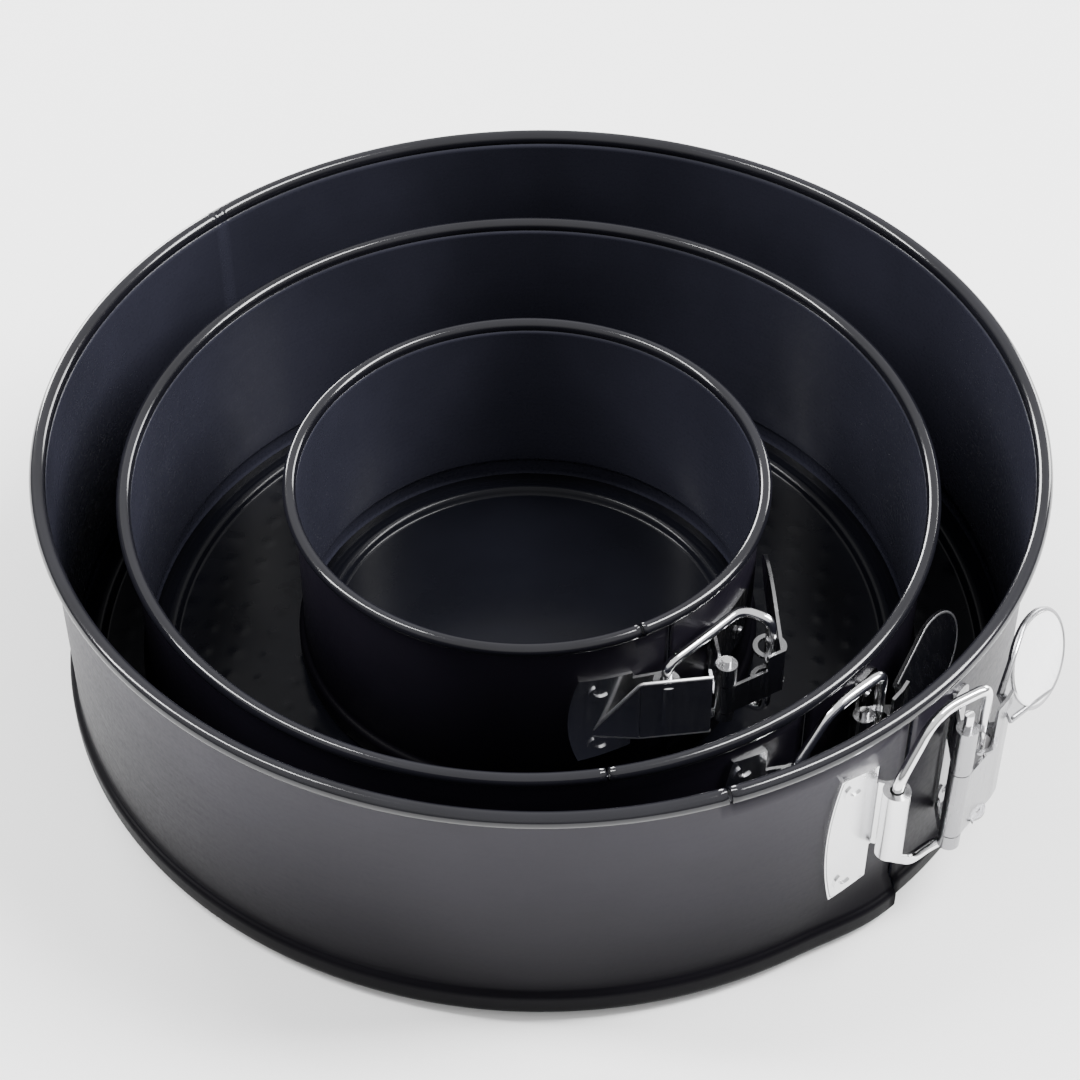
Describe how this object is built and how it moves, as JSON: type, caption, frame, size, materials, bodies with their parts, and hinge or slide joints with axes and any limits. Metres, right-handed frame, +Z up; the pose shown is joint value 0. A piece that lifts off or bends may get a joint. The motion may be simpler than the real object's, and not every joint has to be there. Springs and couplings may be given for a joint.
{
  "type": "springform pan set",
  "caption": "Nested round springform baking pans with loose bases and over-centre wire latches; dark non-stick bands, bright latches.",
  "frame": {"origin": "centre of the large pan's base underside, in the plane it stands on", "axes": "+Z up along the large pan's axis, +X towards its latch"},
  "size_m": [0.2519, 0.2438, 0.0721],
  "materials": {
    "band_coating": "satin",
    "base_coating": "gloss",
    "rim_wire": "satin",
    "latch_plate": "polished",
    "latch_wire": "polished"
  },
  "bodies": {
    "large_base": {"large_base": "base_coating"},
    "large_ring_left": {"large_band_left": "band_coating", "large_rim_wire_left": "rim_wire", "large_catch_plate": "latch_plate"},
    "large_ring_right": {"large_band_right": "band_coating", "large_rim_wire_right": "rim_wire", "large_hinge_plate": "latch_plate", "large_hinge_pin": "latch_wire"},
    "large_bail": {"large_bail": "latch_wire"},
    "large_lever": {"large_lever": "latch_plate"},
    "medium_base": {"medium_base": "base_coating"},
    "medium_ring": {"medium_band": "band_coating", "medium_rim_wire": "rim_wire", "medium_catch_plate": "latch_plate", "medium_hinge_plate": "latch_plate", "medium_hinge_pin": "latch_wire"},
    "medium_bail": {"medium_bail": "latch_wire"},
    "medium_lever": {"medium_lever": "latch_plate"},
    "small_base": {"small_base": "base_coating"},
    "small_ring": {"small_band": "band_coating", "small_rim_wire": "rim_wire", "small_catch_plate": "latch_plate", "small_hinge_plate": "latch_plate", "small_hinge_pin": "latch_wire"},
    "small_bail": {"small_bail": "latch_wire"},
    "small_lever": {"small_lever": "latch_plate"}
  },
  "joints": [
    {"name": "large_ring_lift", "type": "slide", "parent": "large_base", "child": "large_ring_left", "axis": [0, 0, 1], "range_m": [0, 0.085], "deforming": ["large_band_left", "large_band_right"]},
    {"name": "large_ring_open", "type": "hinge", "parent": "large_ring_left", "child": "large_ring_right", "pos_m": [-0.1221, 0, 0.035], "axis": [0, 0, 1], "range_deg": [0, 0.87]},
    {"name": "large_bail_swing", "type": "hinge", "parent": "large_ring_left", "child": "large_bail", "pos_m": [0.12311, -0.01207, 0.0405], "axis": [0, 0, -1], "range_deg": [0, 24.1]},
    {"name": "large_lever_swing", "type": "hinge", "parent": "large_ring_right", "child": "large_lever", "pos_m": [0.12706, 0.00599, 0.0405], "axis": [0, 0, -1], "range_deg": [0, 100]},
    {"name": "medium_pan_lift", "type": "slide", "parent": "large_base", "child": "medium_base", "axis": [0, 0, 1], "range_m": [0, 0.085]},
    {"name": "medium_ring_lift", "type": "slide", "parent": "medium_base", "child": "medium_ring", "axis": [0, 0, 1], "range_m": [0, 0.08], "deforming": ["medium_band"]},
    {"name": "medium_bail_swing", "type": "hinge", "parent": "medium_ring", "child": "medium_bail", "pos_m": [0.0994, -0.01849, 0.0335], "axis": [0, 0, -1], "range_deg": [0, 3.9]},
    {"name": "medium_lever_swing", "type": "hinge", "parent": "medium_ring", "child": "medium_lever", "pos_m": [0.10294, 0.00074, 0.0335], "axis": [0, 0, -1], "range_deg": [0, 12]},
    {"name": "small_pan_lift", "type": "slide", "parent": "medium_base", "child": "small_base", "axis": [0, 0, 1], "range_m": [0, 0.07]},
    {"name": "small_ring_lift", "type": "slide", "parent": "small_base", "child": "small_ring", "axis": [0, 0, 1], "range_m": [0, 0.06], "deforming": ["small_band"]},
    {"name": "small_bail_swing", "type": "hinge", "parent": "small_ring", "child": "small_bail", "pos_m": [0.05811, -0.01642, 0.034], "axis": [0, 0, -1], "range_deg": [0, 22.4]},
    {"name": "small_lever_swing", "type": "hinge", "parent": "small_ring", "child": "small_lever", "pos_m": [0.06568, -0.00392, 0.034], "axis": [0, 0, -1], "range_deg": [0, 45]}
  ],
  "couplings": [
    {"joint": "large_ring_open", "follows": "large_lever_swing", "ratio": 0.00823},
    {"joint": "large_bail_swing", "follows": "large_lever_swing", "ratio": 0.2357},
    {"joint": "medium_bail_swing", "follows": "medium_lever_swing", "ratio": 0.2846},
    {"joint": "small_bail_swing", "follows": "small_lever_swing", "ratio": 0.4864}
  ]
}
